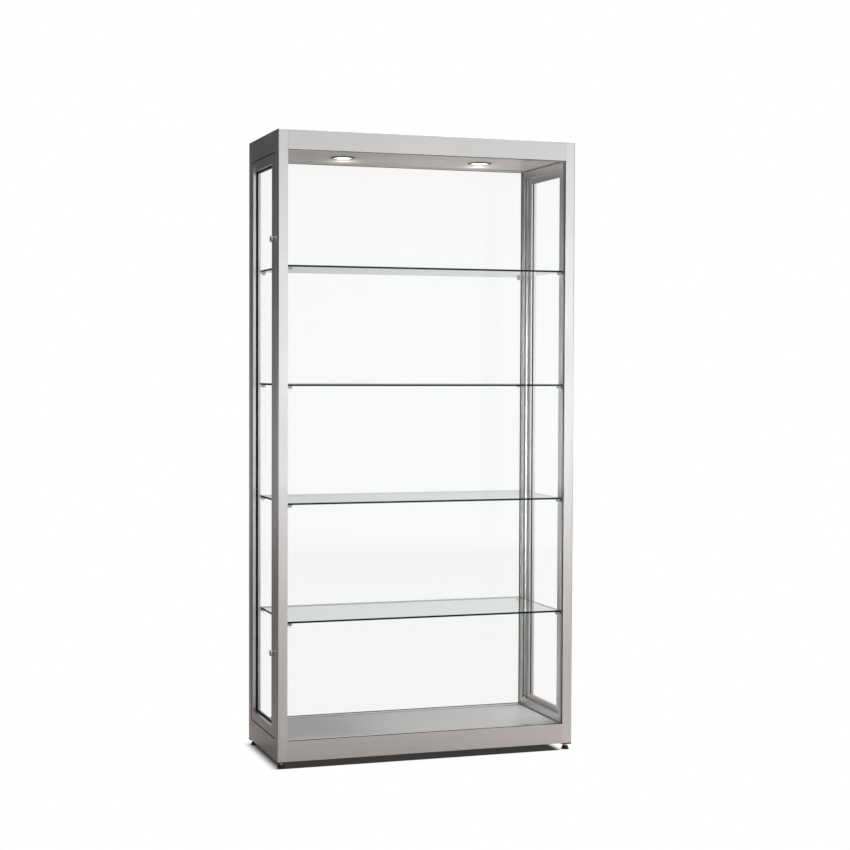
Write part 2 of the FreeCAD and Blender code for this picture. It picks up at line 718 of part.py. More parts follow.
def make_door_glazing(side_name):
    side = SIDES[side_name]
    label = f"{side_name}_door"
    glass_end = d.door_glass_start + d.door_glass_thick
    keep(glazing_block(f"{label}_glass", side, d.door_glass_start, glass_end, d.door_glass_bite))
    strip = glazing_block(f"{label}_strip", side, d.channel_start, d.channel_end,
                          d.door_gasket_bite)
    bed = glazing_block(f"{label}_bed", side, d.door_glass_start, glass_end, d.door_glass_bite)
    outer = glazing_block(f"{label}_outer_sight", side, d.channel_start, d.door_glass_start, 0)
    inner = glazing_block(f"{label}_inner_sight", side, glass_end, d.channel_end,
                          d.gasket_proud - d.bead_rise)
    keep(cut(f"{label}_gasket", strip, [bed, outer, inner]))


def make_pivots(side_name):
    """Pivot plugs in the hinge stile; the lower one carries the leaf on its shoulder."""
    side = SIDES[side_name]
    label = f"{side_name}_door"
    x = low_x(side, pivot_in, pivot_in)
    plug_radius = d.pivot_bore - d.plug_clearance
    shoulder = d.leaf_end_gap - d.bush_flange_thick - d.shoulder_play
    spans = {
        "lower": ((plug_radius, leaf_bottom, d.plug_length),
                  (d.shoulder_radius, leaf_bottom - shoulder, shoulder),
                  (d.pin_radius, leaf_bottom - d.pin_reach, d.pin_reach)),
        "upper": ((plug_radius, leaf_top - d.plug_length, d.plug_length),
                  (d.pin_radius, leaf_top, d.pin_reach)),
    }
    pivots = []
    for level, pieces in spans.items():
        rods = [cylinder(f"{label}_{level}_pivot_{number}", (x, pivot_y, low), radius, height)
                for number, (radius, low, height) in enumerate(pieces)]
        pivots.append(fused(f"{label}_{level}_pivot", rods))
    keep(group(f"{label}_pivots", pivots))


def make_pivot_bushes():
    """A flanged bush in each side rail's wall takes a pivot's pin."""
    sleeve = d.bush_length - d.bush_flange_thick
    bore = d.pin_radius + d.pin_clearance
    bushes = []
    for side_name, side in SIDES.items():
        x = low_x(side, pivot_in, pivot_in)
        lower = frame_bottom + d.side_base_height
        upper = frame_top - d.side_head_height
        for level, flange_low, sleeve_low in (("lower", lower, lower - sleeve),
                                              ("upper", upper - d.bush_flange_thick, upper)):
            name = f"{side_name}_{level}_bush"
            flange = cylinder(name + "_flange", (x, pivot_y, flange_low), d.bush_flange,
                              d.bush_flange_thick)
            neck = cylinder(name + "_neck", (x, pivot_y, sleeve_low), d.bush_radius, sleeve)
            low = sleeve_low if level == "lower" else flange_low
            hole = cylinder(name + "_bore", (x, pivot_y, low), bore, d.bush_length)
            bushes.append(cut(name, fused(name + "_solid", [flange, neck]), [hole]))
    keep(group("pivot_bushes", bushes))


lock_y = leaf_front + d.lock_from_edge


def lock_rod(label, side, near, far, radius, height):
    """A cylinder across the leaf, from near to far in from the case's end face."""
    return cylinder(label, (low_x(side, near, far), lock_y, height), radius, far - near,
                    ROD_ALONG_X)


def make_locks(side_name):
    """Two cam locks: a flanged barrel, and a core that turns in it with its cam."""
    side = SIDES[side_name]
    barrels = []
    for level, height in LOCK_LEVELS.items():
        name = f"{side_name}_door_{level}_lock"
        flange = lock_rod(name + "_flange", side, -d.lock_proud, 0, d.lock_flange, height)
        sleeve = lock_rod(name + "_sleeve", side, 0, d.lock_body_length, d.lock_body, height)
        bore = lock_rod(name + "_bore", side, -d.lock_proud, d.lock_body_length,
                        d.plug_radius + d.pin_clearance, height)
        barrels.append(cut(name + "_barrel", fused(name + "_housing", [flange, sleeve]), [bore]))
        face = d.keyway_recess - d.lock_proud
        core = lock_rod(name + "_plug", side, face, d.cam_start, d.plug_radius, height)
        cam_end = d.cam_start + d.cam_thick
        hub = lock_rod(name + "_hub", side, d.cam_start, cam_end, d.lock_body, height)
        arm = box(name + "_arm", (low_x(side, d.cam_start, cam_end), lock_y - d.cam_width / 2,
                                  height), (d.cam_thick, d.cam_width, d.cam_reach))
        keyway = box(name + "_keyway", (low_x(side, face, face + d.keyway_depth),
                                        lock_y - d.keyway_width / 2,
                                        height - d.keyway_height / 2),
                     (d.keyway_depth, d.keyway_width, d.keyway_height))
        keep(cut(name + "_core", fused(name + "_turning", [core, hub, arm]), [keyway]))
    keep(group(f"{side_name}_door_lock_barrels", barrels))


# ---------------------------------------------------------------- shelves

def make_shelf(number, low):
    """A glass shelf and the four clips under it, whose heads ride in the posts' slots."""
    label = f"shelf_{number}"
    keep(box(f"{label}_glass", (-d.shelf_width / 2, -d.shelf_depth / 2, low),
             (d.shelf_width, d.shelf_depth, d.shelf_thick)))
    face = d.post_size + d.slide_play
    head_far = d.post_size - d.slot_lip - d.slide_play
    blocks = (("bracket", face, d.post_size + d.clip_reach, d.clip_width,
               low - d.clip_height, d.clip_height),
              ("neck", head_far, face, d.clip_neck, low - d.clip_height, d.clip_height),
              ("head", head_far - d.clip_head_depth, head_far, d.clip_head_width,
               low - (d.clip_height + d.clip_head_height) / 2, d.clip_head_height))
    clips = []
    for side_name, side in SIDES.items():
        for end_name, end in ENDS.items():
            name = f"{label}_clip_{end_name}_{side_name}"
            clips.append(fused(name, [
                box(f"{name}_{piece}",
                    (low_x(side, near, far),
                     low_y(end, slot_centre - width / 2, slot_centre + width / 2), bottom),
                    (far - near, width, height))
                for piece, near, far, width, bottom, height in blocks]))
    keep(group(f"{label}_clips", clips))


# ---------------------------------------------------------------- lighting

def make_downlights():
    bezels, lenses, bodies = [], [], []
    for name, side in SIDES.items():
        x, y = side * d.light_offset, d.light_y
        rim = tube(f"{name}_bezel_rim", (x, y, ceiling_bottom - d.bezel_drop),
                   d.bezel_radius, d.bezel_bore, d.bezel_drop)
        neck = tube(f"{name}_bezel_neck", (x, y, ceiling_bottom), d.bezel_neck, d.bezel_bore,
                    d.board_thick)
        bezels.append(fused(f"{name}_bezel", [rim, neck]))
        lenses.append(cylinder(f"{name}_lens", (x, y, ceiling_bottom - d.bezel_drop / 2),
                               d.bezel_bore - d.lens_play, d.lens_thick))
        bodies.append(cylinder(f"{name}_light_body", (x, y, ceiling_top), d.light_body_radius,
                               d.light_body_height))
    keep(group("downlight_bezels", bezels))
    keep(group("downlight_lenses", lenses))
    keep(group("downlight_bodies", bodies))
    keep(box("led_driver", (-d.driver_length / 2, d.driver_y - d.driver_width / 2, ceiling_top),
             (d.driver_length, d.driver_width, d.driver_height)))


def rounded_path(points):
    """Straight runs joined by tangent arcs, each as large as its two runs allow."""
    share = 0.45
    edges, start = [], points[0]
    for before, corner, after in zip(points, points[1:], points[2:]):
        inward, outward = (before - corner), (after - corner)
        reach = share * min(inward.Length, outward.Length)
        inward.normalize()
        outward.normalize()
        turn = (inward * -1).getAngle(outward)
        radius = reach / math.tan(turn / 2)
        first, last = corner + inward * reach, corner + outward * reach
        bisector = (inward + outward).normalize()
        middle = corner + bisector * (math.hypot(reach, radius) - radius)
        edges += [Part.LineSegment(start, first).toShape(),
                  Part.Arc(first, middle, last).toShape()]
        start = last
    edges.append(Part.LineSegment(start, points[-1]).toShape())
    return Part.Wire(edges)


def make_leads():
    """A lead from each light to the driver, in smooth curves just above the ceiling board."""
    level = (ceiling_top + d.lead_lift).value
    start_x = (d.light_offset - d.light_body_radius).value
    end_x = (d.driver_length / 2).value
    start_y, end_y, run = d.light_y.value, d.driver_y.value, d.lead_run.value
    leads = []
    for side in SIDES.values():
        route = [FreeCAD.Vector(side * x, y, level)
                 for x, y in ((start_x, start_y), (start_x - run, start_y),
                              (end_x + run, end_y), (end_x, end_y))]
        path = rounded_path(route)
        ring = Part.Wire(Part.makeCircle(d.lead_radius.value, route[0], route[1] - route[0]))
        leads.append(path.makePipeShell([ring], True, False))
    feature = doc.addObject("Part::Feature", "lighting_leads")
    feature.Shape = Part.makeCompound(leads)
    keep(feature)


def make_grommet():
    """A rubber grommet in the roof, where a mains lead comes in."""
    top = roof_bottom + d.roof_thick
    at = (0, d.grommet_y)
    flanges = [cylinder(f"grommet_flange_{name}", (*at, low), d.grommet_flange, d.grommet_lip)
               for name, low in (("lower", roof_bottom - d.grommet_lip), ("upper", top))]
    neck = cylinder("grommet_neck_rod", (*at, roof_bottom), d.grommet_neck, d.roof_thick)
    bore = cylinder("grommet_bore_rod", (*at, roof_bottom - d.grommet_lip), d.grommet_bore,
                    d.roof_thick + 2 * d.grommet_lip)
    keep(cut("cable_grommet", fused("grommet_solid", [*flanges, neck]), [bore]))


# ---------------------------------------------------------------- assembly

for end_name in ENDS:
    for kind in ("top", "base"):
        make_long_rail(kind, end_name)
for side_name in SIDES:
    for end_name in ENDS:
        make_post(side_name, end_name)
        make_foot(side_name, end_name)
    for kind in ("top", "base"):
        make_side_rail(kind, side_name)
    for kind in ("top", "bottom"):
        make_leaf_rail(side_name, kind)
    make_lock_stile(side_name)
    make_hinge_stile(side_name)
    make_door_glazing(side_name)
    make_pivots(side_name)
    make_locks(side_name)
make_corner_joints()
make_post_end_caps()
make_pivot_bushes()
make_boards()
make_panes()
for shelf_number, shelf_low in enumerate(SHELF_LEVELS, start=1):
    make_shelf(shelf_number, shelf_low)
make_downlights()
make_leads()
make_grommet()
doc.recompute()

for thing in doc.Objects:
    if any(word in thing.State for word in ("Invalid", "Error")):
        raise RuntimeError(f"{thing.Label} failed: {thing.State}")
for part in parts:
    if part.Shape.isNull() or not part.Shape.isValid() or not part.Shape.Solids:
        raise RuntimeError(f"{part.Label} has no valid solid")

os.makedirs("parts", exist_ok=True)
for part in parts:
    part.Shape.exportStep(f"parts/{part.Label}.step")
print(len(parts), "parts written")
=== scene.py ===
"""Looks of the glass display showcase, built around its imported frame.

Metres throughout and +Z up. The front faces -Y, and the origin lies on the floor under the middle
of the case.
"""

import json
import math

import bmesh
import bpy
from mathutils import Matrix, Vector


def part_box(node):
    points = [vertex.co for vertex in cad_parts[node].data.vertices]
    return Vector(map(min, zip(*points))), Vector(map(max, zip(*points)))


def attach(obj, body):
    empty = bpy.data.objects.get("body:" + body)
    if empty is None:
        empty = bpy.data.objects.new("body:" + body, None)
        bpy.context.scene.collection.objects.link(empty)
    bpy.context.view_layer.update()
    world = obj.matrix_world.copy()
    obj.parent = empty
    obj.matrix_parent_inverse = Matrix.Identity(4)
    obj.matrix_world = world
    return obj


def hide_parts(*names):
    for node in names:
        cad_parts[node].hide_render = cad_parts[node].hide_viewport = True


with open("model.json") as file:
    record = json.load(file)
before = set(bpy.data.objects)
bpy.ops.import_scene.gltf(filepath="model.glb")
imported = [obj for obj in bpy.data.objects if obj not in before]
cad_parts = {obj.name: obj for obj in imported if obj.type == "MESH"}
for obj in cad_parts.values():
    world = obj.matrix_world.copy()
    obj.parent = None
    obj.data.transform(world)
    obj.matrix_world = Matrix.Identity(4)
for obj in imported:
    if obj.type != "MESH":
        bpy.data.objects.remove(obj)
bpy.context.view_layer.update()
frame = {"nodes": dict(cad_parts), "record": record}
nodes = frame["nodes"]
MM = 0.001
WHITE = (1, 1, 1, 1)
DOOR_SIDES = {"left": -1, "right": 1}
SHELF_COUNT = 4


# ---------------------------------------------------------------- shader helpers

def add(tree, kind, values=None, **settings):
    """A shader node with its settings, and its inputs set to values or linked to other sockets."""
    node = tree.nodes.new("ShaderNode" + kind)
    for name, value in settings.items():
        setattr(node, name, value)
    for name, value in (values or {}).items():
        socket = node.inputs[name]
        if isinstance(value, bpy.types.NodeSocket):
            tree.links.new(value, socket)
        else:
            socket.default_value = value
    return node


def new_tree(name):
    """A material with an empty node tree."""
    material = bpy.data.materials.new(name)
    material.use_nodes = True
    material.node_tree.nodes.clear()
    return material, material.node_tree


def finished(tree, shader):
    """Sends a shader to the material's output."""
    add(tree, "OutputMaterial", {"Surface": shader})


def placed(tree, scale=(1, 1, 1)):
    """The object's own coordinates, stretched by a scale per axis."""
    where = add(tree, "TexCoord").outputs["Object"]
    return add(tree, "Mapping", {"Vector": where, "Scale": scale}).outputs["Vector"]


def noise(tree, vector, scale, detail=4.0, roughness=0.6):
    """Fractal noise between 0 and 1."""
    values = {"Vector": vector, "Scale": scale, "Detail": detail, "Roughness": roughness}
    return add(tree, "TexNoise", values).outputs["Fac"]


def ranged(tree, value, low, high, start=0.3, end=0.7):
    """A value taken from start..end to low..high."""
    values = {"Value": value, "From Min": start, "From Max": end, "To Min": low, "To Max": high}
    return add(tree, "MapRange", values).outputs["Result"]


def eased(tree, value, start, end, high=1.0):
    """A value taken from start..end to 0..high with soft ends."""
    values = {"Value": value, "From Min": start, "From Max": end, "To Min": 0.0, "To Max": high}
    return add(tree, "MapRange", values, interpolation_type="SMOOTHSTEP").outputs["Result"]


def maths(tree, operation, a, b=0.0, clamp=False):
    """One sum of two values."""
    node = add(tree, "Math", {0: a, 1: b}, operation=operation, use_clamp=clamp)
    return node.outputs["Value"]


def blended(tree, factor, dark, light):
    """A colour between two others."""
    values = {"Factor": factor, "A": (*dark, 1), "B": (*light, 1)}
    return add(tree, "Mix", values, data_type="RGBA").outputs["Result"]


def colour_mix(tree, factor, dark, light):
    """A colour ramp of two stops."""
    node = add(tree, "ValToRGB", {"Fac": factor})
    node.color_ramp.elements[0].color = (*dark, 1)
    node.color_ramp.elements[1].color = (*light, 1)
    return node.outputs["Color"]


def bumped(tree, height, distance):
    """A normal tilted by a height, whose full range is distance metres deep."""
    values = {"Height": height, "Distance": distance, "Strength": 1.0}
    return add(tree, "Bump", values).outputs["Normal"]


def mixed(tree, factor, first, second):
    """A shader between two others."""
    return add(tree, "MixShader", {0: factor, 1: first, 2: second}).outputs["Shader"]


def glowing(tree, strength):
    """White light of a strength."""
    return add(tree, "Emission", {"Color": WHITE, "Strength": strength}).outputs["Emission"]


# ---------------------------------------------------------------- materials

ALUMINIUM_DARK, ALUMINIUM_LIGHT = (0.635, 0.63, 0.625), (0.675, 0.67, 0.665)
DIE_LINES_ACROSS, DIE_LINES_ALONG = 1100.0, 2.5
LAMINATE_ACROSS, LAMINATE_ALONG = 140.0, 2.2
GLASS_IOR = 1.52
# the edges' own deep green, and the lighter green painted along them in streaks as highlights
GLASS_EDGE_DARK, GLASS_EDGE_HIGHLIGHT = (0.0008, 0.006, 0.004), (0.001, 0.042, 0.022)
FACE_COSINE = 0.9  # a pane's surface is an edge where it leans further than this from its face


def aluminium(name, grain_axis, tone):
    """Silver anodised extrusion: a satin metal with fine die lines along its length."""
    material, tree = new_tree(name)
    stretch = [DIE_LINES_ACROSS] * 3
    stretch["xyz".index(grain_axis)] = DIE_LINES_ALONG
    lines = noise(tree, placed(tree, stretch), 1.0, 3.0, 0.55)
    cloud = noise(tree, placed(tree), 6.0, 3.0)
    grit = noise(tree, placed(tree), 2600.0, 1.0)
    # tone scales the colour, and carries the painted shade given to the horizontal runs
    dark, light = ([c * tone for c in shade] for shade in (ALUMINIUM_DARK, ALUMINIUM_LIGHT))
    smear = ranged(tree, cloud, -0.02, 0.02)
    relief = maths(tree, "ADD", lines, maths(tree, "MULTIPLY", grit, 0.6))
    shader = add(tree, "BsdfPrincipled", {
        "Base Color": colour_mix(tree, ranged(tree, lines, 0, 1), dark, light),
        "Metallic": 0.92,
        "Roughness": maths(tree, "ADD", ranged(tree, lines, 0.28, 0.32), smear),
        "Normal": bumped(tree, relief, 0.004 * MM),
    })
    finished(tree, shader.outputs["BSDF"])
    return material


def glass(name, thin_axis, clear_tint, gloss):
    """Float glass: clear faces that mirror more at a slant, and deep green edges with lighter streaks
    painted on as highlights.
    """
    material, tree = new_tree(name)
    facing = add(tree, "SeparateXYZ", {"Vector": add(tree, "TexCoord").outputs["Normal"]})
    across = maths(tree, "ABSOLUTE", facing.outputs[thin_axis.upper()])
    on_edge = maths(tree, "LESS_THAN", across, FACE_COSINE)
    front = maths(tree, "SUBTRACT", 1.0, add(tree, "NewGeometry").outputs["Backfacing"])
    slant = add(tree, "Fresnel", {"IOR": GLASS_IOR}).outputs["Fac"]
    both_faces = maths(tree, "MULTIPLY", slant, gloss, clamp=True)
    mirror = maths(tree, "MULTIPLY", both_faces, front)
    tint = blended(tree, front, (1, 1, 1), clear_tint)
    clear = add(tree, "BsdfTransparent", {"Color": tint}).outputs["BSDF"]
    sheen = add(tree, "BsdfGlossy", {
        "Color": (0.97, 1, 0.98, 1), "Roughness": 0.01,
        "Normal": bumped(tree, noise(tree, placed(tree), 2.0, 1.0), 0.4 * MM),
    }).outputs["BSDF"]
    # painted highlights: noise streaks the edge from its deep green to a lighter green
    painted_edge_glints = noise(tree, placed(tree), 11.0, 4.0)
    edge_tint = colour_mix(tree, ranged(tree, painted_edge_glints, 0, 1), GLASS_EDGE_DARK, GLASS_EDGE_HIGHLIGHT)
    edge = add(tree, "BsdfPrincipled", {
        "Base Color": edge_tint, "Roughness": 0.4, "Specular IOR Level": 0.02, "IOR": GLASS_IOR,
    }).outputs["BSDF"]
    finished(tree, mixed(tree, on_edge, mixed(tree, mirror, clear, sheen), edge))
    return material


def laminate(name, dark, light, roughness):
    """Matt laminate with a faint grain along the case."""
    material, tree = new_tree(name)
    stretch = (LAMINATE_ALONG, LAMINATE_ACROSS, LAMINATE_ACROSS)
    grain = noise(tree, placed(tree, stretch), 1.0, 6.0, 0.65)
    cloud = noise(tree, placed(tree), 5.0, 2.0)
    pebble = noise(tree, placed(tree), 1800.0, 2.0)
    mix = maths(tree, "ADD", maths(tree, "MULTIPLY", grain, 0.75), maths(tree, "MULTIPLY", cloud, 0.25))
    shader = add(tree, "BsdfPrincipled", {
        "Base Color": colour_mix(tree, ranged(tree, mix, 0, 1), dark, light),
        "Roughness": ranged(tree, grain, roughness - 0.05, roughness + 0.05),
        "Normal": bumped(tree, pebble, 0.03 * MM),
    })
    finished(tree, shader.outputs["BSDF"])
    return material


def metal(name, dark, light, roughness):
    """Plated or cast metal with a little variation in tone and gloss."""
    material, tree = new_tree(name)
    cloud = noise(tree, placed(tree), 60.0, 4.0)
    grain = noise(tree, placed(tree), 1800.0, 2.0)
    shader = add(tree, "BsdfPrincipled", {
        "Base Color": colour_mix(tree, ranged(tree, cloud, 0, 1), dark, light),
        "Metallic": 1.0,
        "Roughness": ranged(tree, cloud, roughness * 0.8, roughness * 1.25),
        "Normal": bumped(tree, grain, 0.02 * MM),
    })
    finished(tree, shader.outputs["BSDF"])
    return material


def plastic(name, dark, light, roughness):
    """Moulded plastic or rubber with a fine spark-eroded texture."""
    material, tree = new_tree(name)
    cloud = noise(tree, placed(tree), 40.0, 3.0)
    grain = noise(tree, placed(tree), 900.0, 2.0)
    shader = add(tree, "BsdfPrincipled", {
        "Base Color": colour_mix(tree, ranged(tree, cloud, 0, 1), dark, light),
        "Roughness": ranged(tree, grain, roughness - 0.06, roughness + 0.06),
        "Normal": bumped(tree, grain, 0.04 * MM),
    })
    finished(tree, shader.outputs["BSDF"])
    return material


def lamp_lens():
    """Frosted lens lit from behind, brightest in the middle and dimmer at its rim."""
    centre_glow, rim_glow = 9.0, 2.2
    material, tree = new_tree("lamp_lens")
    low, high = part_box("downlight_lenses")
    radius = (high.y - low.y) / 2
    lamp_x, lamp_y = high.x - radius, (low.y + high.y) / 2
    place = add(tree, "SeparateXYZ", {"Vector": add(tree, "TexCoord").outputs["Object"]})
    dx = maths(tree, "SUBTRACT", maths(tree, "ABSOLUTE", place.outputs["X"]), lamp_x)
    dy = maths(tree, "SUBTRACT", place.outputs["Y"], lamp_y)
    squares = maths(tree, "ADD", maths(tree, "POWER", dx, 2.0), maths(tree, "POWER", dy, 2.0))
    away = maths(tree, "SQRT", squares)
    shader = add(tree, "BsdfPrincipled", {
        "Base Color": (0.9, 0.9, 0.88, 1), "Roughness": 0.35,
        "Emission Color": (1, 0.965, 0.91, 1),
        "Emission Strength": ranged(tree, away, centre_glow, rim_glow, 0.0, radius),
    })
    finished(tree, shader.outputs["BSDF"])
    return material


# painted shade: aluminium running along x or y (the rails) is a darker copy than the upright posts, for
# how the light falls on them
PAINTED_SHADE_BY_RUN = {"x": 0.93, "y": 0.93, "z": 1.0}
ALUMINIUM = {
    (slot, axis): aluminium(f"{slot}_{axis}", axis, tone * PAINTED_SHADE_BY_RUN[axis])
    for slot, tone in (("frame_aluminium", 1.0), ("door_aluminium", 0.96))
    for axis in "xyz"
}
PANE = {
    "x": glass("door_glass", "x", (0.992, 0.996, 0.994), 0.16),
    "y": glass("fixed_glass", "y", (0.960, 0.963, 0.962), 0.30),
}
BEZEL = metal("dark_chrome", (0.03, 0.03, 0.03), (0.06, 0.06, 0.06), 0.12)
FINISH = {
    "shelf_glass": glass("shelf_glass", "z", (0.90, 0.92, 0.91), 1.4),
    "lamp_lens": lamp_lens(),
}
for kind, plain_finishes in (
    (metal, {  # darkest and lightest colour, roughness
        "clip_metal": ((0.26, 0.26, 0.26), (0.38, 0.38, 0.38), 0.3),
        "chrome_trim": ((0.82, 0.82, 0.83), (0.92, 0.92, 0.93), 0.06),
        "heat_sink": ((0.03, 0.03, 0.032), (0.05, 0.05, 0.052), 0.45),
        "bright_steel": ((0.58, 0.59, 0.60), (0.72, 0.72, 0.72), 0.22),
        "joint_metal": ((0.38, 0.385, 0.39), (0.48, 0.48, 0.485), 0.42),
    }),
    (plastic, {
        "gasket_rubber": ((0.06, 0.06, 0.06), (0.09, 0.09, 0.088), 0.6),
        "driver_case": ((0.72, 0.72, 0.70), (0.78, 0.78, 0.76), 0.45),
        "cable_rubber": ((0.015, 0.015, 0.015), (0.03, 0.03, 0.03), 0.5),
        "foot_plastic": ((0.012, 0.012, 0.012), (0.022, 0.022, 0.022), 0.45),
        "cap_plastic": ((0.015, 0.015, 0.015), (0.025, 0.025, 0.025), 0.42),
        "bush_plastic": ((0.55, 0.54, 0.50), (0.62, 0.61, 0.57), 0.4),
    }),
    (laminate, {
        "floor_laminate": ((0.37, 0.37, 0.365), (0.42, 0.42, 0.415), 0.38),
        "ceiling_laminate": ((0.41, 0.39, 0.37), (0.75, 0.725, 0.69), 0.30),
        "roof_sheet": ((0.26, 0.26, 0.26), (0.31, 0.31, 0.31), 0.5),
    }),
):
    for slot, look_of_slot in plain_finishes.items():
        FINISH[slot] = kind(slot, *look_of_slot)


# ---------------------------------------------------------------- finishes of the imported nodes

def axis_of(node, pick):
    """The axis of a node's longest or shortest side, as pick is max or min."""
    low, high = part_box(node)
    spans = [high[i] - low[i] for i in range(3)]
    return "xyz"[spans.index(pick(spans))]


def finish_of(node, slot):
    """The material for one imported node: extrusions by their run, panes by their thickness."""
    if node == "downlight_bezels":
        return BEZEL
    if slot.endswith("aluminium"):
        return ALUMINIUM[slot, axis_of(node, max)]
    if slot == "pane_glass":
        return PANE[axis_of(node, min)]
    return FINISH[slot]


def soften_edges(obj, width):
    """Breaks a node's sharp edges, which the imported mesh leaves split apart."""
    weld = obj.modifiers.new("joined", "WELD")
    weld.merge_threshold = 0.01 * MM
    bevel = obj.modifiers.new("broken_edges", "BEVEL")
    bevel.width = width
    bevel.segments = 2
    bevel.limit_method = "ANGLE"
    bevel.angle_limit = math.radians(40)
    bevel.harden_normals = True
    bevel.use_clamp_overlap = True


EDGE_BREAK = {
    "frame_aluminium": 0.35 * MM,
    "door_aluminium": 0.35 * MM,
    "shelf_glass": 0.3 * MM,
    "chrome_trim": 0.6 * MM,
}
BARREL_EDGE = 2.4 * MM
for part in frame["record"]["subparts"]:
    node, slot = part["node"], part["material_slot"]
    for held in nodes[node].material_slots:
        held.material = finish_of(node, slot)
    if slot in EDGE_BREAK:
        is_barrel = node.endswith("lock_barrels")
        soften_edges(nodes[node], BARREL_EDGE if is_barrel else EDGE_BREAK[slot])


# ---------------------------------------------------------------- building blocks for new pieces

def as_object(name, shape):
    """A smooth-shaded mesh object from a bmesh, with its faces pointing outwards."""
    bmesh.ops.remove_doubles(shape, verts=shape.verts, dist=0.001 * MM)
    bmesh.ops.recalc_face_normals(shape, faces=shape.faces)
    mesh = bpy.data.meshes.new(name)
    shape.to_mesh(mesh)
    shape.free()
    obj = bpy.data.objects.new(name, mesh)
    bpy.context.scene.collection.objects.link(obj)
    mesh.shade_smooth()
    mesh.set_sharp_from_angle(angle=math.radians(35))
    return obj


def turned(shape, profile, centre, segments=48):
    """Adds a solid turned about Z to a bmesh, from (radius, height) pairs from end to end."""
    rings = []
    for radius, height in profile:
        ring = []
        for step in range(segments):
            angle = math.tau * step / segments
            spot = Vector((radius * math.cos(angle), radius * math.sin(angle), height))
            ring.append(shape.verts.new(Vector(centre) + spot))
        rings.append(ring)
    for lower, upper in zip(rings, rings[1:]):
        for step in range(segments):
            after = (step + 1) % segments
            shape.faces.new((lower[step], lower[after], upper[after], upper[step]))
    shape.faces.new(rings[0])
    shape.faces.new(rings[-1])


def block(shape, low, high, round_off, segments=3):
    """Adds a box between two corners to a bmesh, with all its edges rounded."""
    low, high = Vector(low), Vector(high)
    size, middle = high - low, (low + high) / 2
    spread = Matrix.Translation(middle) @ Matrix.Diagonal((*size, 1))
    made = bmesh.ops.create_cube(shape, size=1.0, matrix=spread)
    edges = {edge for vert in made["verts"] for edge in vert.link_edges}
    bmesh.ops.bevel(shape, geom=list(edges), offset=round_off, segments=segments, profile=0.5,
                    affect="EDGES")


def piece(name, shape, body, material):
    """Finishes a new piece: it rides on a body and takes its finish from a slot."""
    obj = as_object(name, shape)
    obj.data.materials.append(material)
    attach(obj, body)
    return obj


def outer_x(node, sign):
    """The x of a node's face that looks out of the case on one side."""
    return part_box(node)[1 if sign > 0 else 0].x


# ---------------------------------------------------------------- new pieces

def hinge_covers():
    """A thin pressed cover over the upper pivot, on the outer face of each door's top rail."""
    proud, width, height, inset = 1.3 * MM, 35 * MM, 27 * MM, 0.6 * MM
    for side, sign in DOOR_SIDES.items():
        outer = outer_x(f"{side}_door_top_rail", sign)
        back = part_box(f"{side}_door_glass")[1].y
        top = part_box(f"{side}_door_hinge_stile")[1].z - inset
        xs = sorted((outer, outer + sign * proud))
        shape = bmesh.new()
        block(shape, (xs[0], back - width, top - height), (xs[1], back, top), 0.5 * MM)
        piece(f"{side}_door_hinge_cover", shape, f"{side}_door",
              ALUMINIUM["door_aluminium", "y"])


def thread(shape, centre, low, high, major, minor, pitch, segments=20):
    """Adds a screw thread to a bmesh as one helical ridge on a plain core."""
    ridge = ((minor, 0), (major, 0.42), (major, 0.58), (minor, 1.0))  # radius, share of the pitch
    steps = round((high - low - pitch) / pitch * segments)
    rows = []
    for step in range(steps + 1):
        angle = math.tau * step / segments
        base = low + pitch * step / segments
        out = Vector((math.cos(angle), math.sin(angle), 0))
        rows.append([
            shape.verts.new(Vector(centre) + out * radius + Vector((0, 0, base + pitch * up)))
            for radius, up in ridge
        ])
    for before, after in zip(rows, rows[1:]):
        for i in range(3):
            shape.faces.new((before[i], after[i], after[i + 1], before[i + 1]))
        shape.faces.new((before[3], after[3], after[0], before[0]))
    for end in (rows[0], rows[-1]):
        shape.faces.new(end)
    turned(shape, ((minor, low), (minor, high)), centre, segments=segments)


PAD_PROFILE = (  # radius and height in mm, from the recess under the pad to its neck
    (7.5, 0.8), (10.2, 0.8), (10.6, 0.0), (11.4, 0.0), (11.9, 0.5), (12.0, 1.2), (12.0, 3.2),
    (11.6, 4.0), (10.6, 5.4), (10.1, 7.0), (9.6, 9.6), (9.2, 10.6), (8.6, 11.0), (4.5, 11.0),
)


def levelling_feet():
    """A moulded pad and a zinc plated stud with a hexagon for the spanner, for each foot."""
    pad_top, nut_top, nut_chamfer = 11 * MM, 17.8 * MM, 0.6 * MM
    half_flat = 5.0 * MM
    corner, end_radius = half_flat / math.cos(math.radians(30)), half_flat * 0.97
    for end in ("front", "rear"):
        for side in DOOR_SIDES:
            node, body = f"levelling_foot_{end}_{side}", f"foot_{end}_{side}"
            low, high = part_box(node)
            centre = ((low.x + high.x) / 2, (low.y + high.y) / 2, 0)
            pad = bmesh.new()
            turned(pad, [(r * MM, h * MM) for r, h in PAD_PROFILE], centre)
            foot = piece(f"foot_pad_{end}_{side}", pad, body,
                         FINISH["foot_plastic"])
            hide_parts(node)
            stud = bmesh.new()
            turned(stud, (
                (end_radius, pad_top), (corner, pad_top + nut_chamfer),
                (corner, nut_top - nut_chamfer), (end_radius, nut_top),
            ), centre, segments=6)
            thread(stud, centre, nut_top, high.z - 1 * MM, 2.95 * MM, 2.5 * MM, 1.0 * MM)
            piece(f"foot_stud_{end}_{side}", stud, body, FINISH["bright_steel"])


